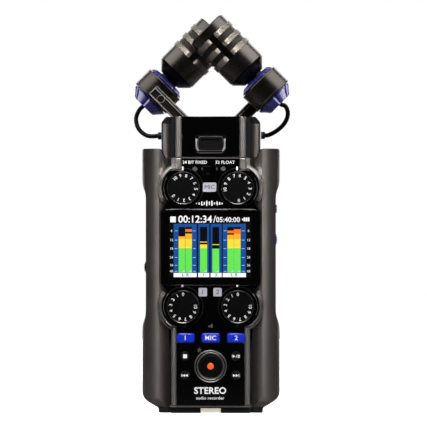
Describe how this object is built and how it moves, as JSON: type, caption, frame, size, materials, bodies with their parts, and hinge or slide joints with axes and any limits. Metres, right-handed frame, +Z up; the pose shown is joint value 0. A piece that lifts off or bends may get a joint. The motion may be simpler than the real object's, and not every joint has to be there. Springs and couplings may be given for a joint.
{
  "type": "handheld voice recorder",
  "caption": "Handheld audio recorder with a lit level display, ringed gain knobs and a plug-in head carrying crossed microphones in elastic mounts.",
  "frame": {"origin": "under the middle of the whole object, in the plane of the foot that it stands on", "axes": "+Z up along the recorder to the microphones, -Y out of the display, +X to the right as the display is read"},
  "size_m": [0.0794, 0.0496, 0.1992],
  "materials": {
    "shell": "satin metallic taupe paint over moulded plastic",
    "mic_metal": "satin metallic taupe",
    "gloss": "high gloss black",
    "lens": "clear hard-coated window over a black surround",
    "screen": "lit colour panel",
    "board": "solder mask",
    "knob": "matte black",
    "blue": "satin translucent blue",
    "elastomer": "satin blue-violet elastomer",
    "steel": "satin",
    "strap": "polished pin",
    "black": "fine moulded texture",
    "mesh": "woven grille",
    "cable": "ribbed black jacket",
    "brass": "turned",
    "cell": "printed sleeve"
  },
  "bodies": {
    "case": {"battery_cell_1": "cell", "battery_cell_2": "cell", "battery_cell_3": "cell", "battery_cell_4": "cell", "button_board": "board", "card_slot": "steel", "case_screw_left": "steel", "case_screw_right": "steel", "combo_jack_1": "black", "combo_jack_2": "black", "display_lens": "lens", "front_panel": "gloss", "front_shell": "shell", "head_socket": "black", "headphone_jack": "black", "lcd_module": "screen", "main_board": "board", "rear_shell": "shell", "record_ring": "steel", "speaker": "black", "strap_bar": "strap", "tripod_bush": "brass", "usb_socket": "steel"},
    "knob_mic_left": {"gain_knob_mic_left": "knob"},
    "knob_mic_right": {"gain_knob_mic_right": "knob"},
    "knob_input_1": {"gain_knob_input_1": "knob"},
    "knob_input_2": {"gain_knob_input_2": "knob"},
    "track_1": {"track_button_1": "blue"},
    "track_mic": {"track_button_mic": "blue"},
    "track_2": {"track_button_2": "blue"},
    "stop": {"stop_button": "gloss"},
    "play": {"play_button": "gloss"},
    "rewind": {"rewind_button": "gloss"},
    "forward": {"forward_button": "gloss"},
    "record": {"record_button": "gloss"},
    "format": {"format_switch": "black"},
    "volume": {"volume_wheel": "knob"},
    "menu": {"menu_dial": "blue"},
    "power": {"power_switch": "black"},
    "card_cover": {"card_door": "knob"},
    "battery_cover": {"battery_door": "shell"},
    "latch_1": {"jack_latch_1": "steel"},
    "latch_2": {"jack_latch_2": "steel"},
    "head": {"head_base": "shell", "head_fascia": "gloss", "mic_barrel_right": "mic_metal", "mic_capsule_right": "mesh", "mount_ring_right": "mic_metal", "shock_mount_right": "elastomer", "mic_arm_right": "mic_metal", "mic_cable_right": "cable", "cable_gland_right": "cable", "mic_barrel_left": "mic_metal", "mic_capsule_left": "mesh", "mount_ring_left": "mic_metal", "shock_mount_left": "elastomer", "mic_arm_left": "mic_metal", "mic_cable_left": "cable", "cable_gland_left": "cable"},
    "release": {"release_button": "knob"}
  },
  "joints": [
    {"name": "knob_mic_left_turn", "type": "hinge", "parent": "case", "child": "knob_mic_left", "pos_m": [-0.0135, -0.02, 0.1123], "axis": [0, 1, 0], "range_deg": [-231, 41]},
    {"name": "knob_mic_right_turn", "type": "hinge", "parent": "case", "child": "knob_mic_right", "pos_m": [0.0135, -0.02, 0.1123], "axis": [0, 1, 0], "range_deg": [-174, 98]},
    {"name": "knob_input_1_turn", "type": "hinge", "parent": "case", "child": "knob_input_1", "pos_m": [-0.0136, -0.02, 0.0532], "axis": [0, 1, 0], "range_deg": [0, 272]},
    {"name": "knob_input_2_turn", "type": "hinge", "parent": "case", "child": "knob_input_2", "pos_m": [0.0136, -0.02, 0.0532], "axis": [0, 1, 0], "range_deg": [0, 272]},
    {"name": "track_1_press", "type": "slide", "parent": "case", "child": "track_1", "axis": [0, 1, 0], "range_m": [0, 0.0006], "stiffness_N_per_m": 800, "springref_m": -0.0004},
    {"name": "track_mic_press", "type": "slide", "parent": "case", "child": "track_mic", "axis": [0, 1, 0], "range_m": [0, 0.0006], "stiffness_N_per_m": 800, "springref_m": -0.0004},
    {"name": "track_2_press", "type": "slide", "parent": "case", "child": "track_2", "axis": [0, 1, 0], "range_m": [0, 0.0006], "stiffness_N_per_m": 800, "springref_m": -0.0004},
    {"name": "stop_press", "type": "slide", "parent": "case", "child": "stop", "axis": [0, 1, 0], "range_m": [0, 0.0006], "stiffness_N_per_m": 800, "springref_m": -0.0004},
    {"name": "play_press", "type": "slide", "parent": "case", "child": "play", "axis": [0, 1, 0], "range_m": [0, 0.0006], "stiffness_N_per_m": 800, "springref_m": -0.0004},
    {"name": "rewind_press", "type": "slide", "parent": "case", "child": "rewind", "axis": [0, 1, 0], "range_m": [0, 0.0006], "stiffness_N_per_m": 800, "springref_m": -0.0004},
    {"name": "forward_press", "type": "slide", "parent": "case", "child": "forward", "axis": [0, 1, 0], "range_m": [0, 0.0006], "stiffness_N_per_m": 800, "springref_m": -0.0004},
    {"name": "record_press", "type": "slide", "parent": "case", "child": "record", "axis": [0, 1, 0], "range_m": [0, 0.0006], "stiffness_N_per_m": 800, "springref_m": -0.0004},
    {"name": "format_slide", "type": "slide", "parent": "case", "child": "format", "axis": [1, 0, 0], "range_m": [0, 0.0028]},
    {"name": "power_slide", "type": "slide", "parent": "case", "child": "power", "axis": [0, 0, 1], "range_m": [0, 0.0035]},
    {"name": "volume_turn", "type": "hinge", "parent": "case", "child": "volume", "pos_m": [-0.0282, -0.004, 0.0726], "axis": [0, 1, 0], "range_deg": [-135, 135]},
    {"name": "menu_turn", "type": "hinge", "parent": "case", "child": "menu", "pos_m": [0.0261, -0.0055, 0.0865], "axis": [0, 1, 0], "continuous": true},
    {"name": "card_cover_swing", "type": "hinge", "parent": "case", "child": "card_cover", "pos_m": [0.0319, -0.003, 0.0655], "axis": [0, 0, 1], "range_deg": [0, 100]},
    {"name": "battery_cover_swing", "type": "hinge", "parent": "case", "child": "battery_cover", "pos_m": [0, 0.021, 0.0976], "axis": [1, 0, 0], "range_deg": [0, 100]},
    {"name": "latch_1_press", "type": "slide", "parent": "case", "child": "latch_1", "axis": [0, 0, 1], "range_m": [0, 0.0015], "stiffness_N_per_m": 500, "springref_m": -0.0005},
    {"name": "latch_2_press", "type": "slide", "parent": "case", "child": "latch_2", "axis": [0, 0, 1], "range_m": [0, 0.0015], "stiffness_N_per_m": 500, "springref_m": -0.0005},
    {"name": "head_lift", "type": "slide", "parent": "case", "child": "head", "axis": [0, 0, 1], "range_m": [0, 0.025]},
    {"name": "release_press", "type": "slide", "parent": "head", "child": "release", "axis": [0, 1, 0], "range_m": [0, 0.001], "stiffness_N_per_m": 800, "springref_m": -0.0004}
  ]
}
